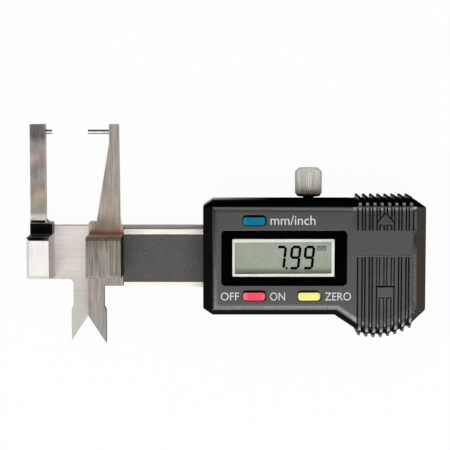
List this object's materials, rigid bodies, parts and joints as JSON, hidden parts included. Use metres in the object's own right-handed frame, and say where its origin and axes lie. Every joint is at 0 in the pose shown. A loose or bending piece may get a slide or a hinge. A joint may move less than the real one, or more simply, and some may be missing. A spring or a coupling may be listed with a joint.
{
  "type": "digital gemstone gauge",
  "caption": "Small digital sliding gauge for gemstones, with pin, block and inside jaws, a moulded display housing with a ribbed grip, push buttons, a lock screw and a battery cover.",
  "frame": {"origin": "on the flat back face, under the fixed measuring face (X 0) and the beam's centreline (Y 0)", "axes": "+X along the slide from the jaws to the grip, +Y towards the measuring pins, +Z out of the display face"},
  "size_m": [0.0871, 0.0489, 0.0154],
  "materials": {
    "brushed_plate": "brushed along the slide",
    "satin_jaw": "satin ground",
    "pin_steel": "polished",
    "screw_steel": "nickel plated",
    "rail_steel": "ground",
    "gib_bronze": "rolled bronze strip",
    "dark_screw": "blackened steel",
    "moulded_black": "fine spark-eroded moulding",
    "window": "clear, polished",
    "white_frame": "smooth",
    "display_glass": "grey-green display",
    "contact_rubber": "layered rubber",
    "board_green": "lacquered circuit board",
    "chip_resin": "cast resin",
    "switch_plastic": "moulded",
    "cell_steel": "nickel plated",
    "contact_brass": "spring sheet",
    "beam_steel": "brushed along the slide",
    "scale_strip": "satin film",
    "blue_button": "moulded, smooth",
    "red_button": "moulded, smooth",
    "yellow_button": "moulded, smooth",
    "pad_brass": "turned",
    "knob_steel": "turned and knurled"
  },
  "bodies": {
    "gauge_frame": {"frame_plate": "brushed_plate", "fixed_jaw": "satin_jaw", "fixed_pin": "pin_steel", "jaw_screws": "screw_steel", "guide_rails": "rail_steel", "rail_screws": "screw_steel", "gib_strip": "gib_bronze", "gib_screws": "dark_screw", "housing_shell": "moulded_black", "housing_screws": "screw_steel", "window_lens": "window", "display_frame": "white_frame", "display_panel": "display_glass", "contact_strips": "contact_rubber", "circuit_board": "board_green", "chip_cover": "chip_resin", "key_switches": "switch_plastic", "button_cell": "cell_steel", "cell_spring": "contact_brass", "cell_clip": "contact_brass"},
    "slider": {"beam": "beam_steel", "scale_board": "board_green", "scale_label": "scale_strip", "sliding_jaw": "satin_jaw", "sliding_pin": "pin_steel", "jaw_rivets": "screw_steel", "stop_pin": "screw_steel"},
    "unit_key": {"unit_button": "blue_button"},
    "power_key": {"power_button": "red_button"},
    "zero_key": {"zero_button": "yellow_button"},
    "bay_cover": {"battery_cover": "moulded_black"},
    "lock_tip": {"lock_pad": "pad_brass"},
    "lock_knob": {"lock_screw": "knob_steel"}
  },
  "joints": [
    {"name": "jaw_slide", "type": "slide", "parent": "gauge_frame", "child": "slider", "axis": [1, 0, 0], "range_m": [-0.00799, 0.01701]},
    {"name": "unit_press", "type": "slide", "parent": "gauge_frame", "child": "unit_key", "axis": [0, 0, -1], "range_m": [0, 0.0004], "stiffness_N_per_m": 2500},
    {"name": "power_press", "type": "slide", "parent": "gauge_frame", "child": "power_key", "axis": [0, 0, -1], "range_m": [0, 0.0004], "stiffness_N_per_m": 2500},
    {"name": "zero_press", "type": "slide", "parent": "gauge_frame", "child": "zero_key", "axis": [0, 0, -1], "range_m": [0, 0.0004], "stiffness_N_per_m": 2500},
    {"name": "cover_slide", "type": "slide", "parent": "gauge_frame", "child": "bay_cover", "axis": [0, 1, 0], "range_m": [0, 0.016]},
    {"name": "lock_advance", "type": "slide", "parent": "gauge_frame", "child": "lock_tip", "axis": [0, -1, 0], "range_m": [-0.00045, 0.0001125]},
    {"name": "lock_turn", "type": "hinge", "parent": "lock_tip", "child": "lock_knob", "pos_m": [0.05695, 0, 0.0046], "axis": [0, -1, 0], "range_deg": [-360, 90]}
  ],
  "couplings": [
    {"joint": "lock_turn", "follows": "lock_advance", "rad_per_m": 13963}
  ]
}
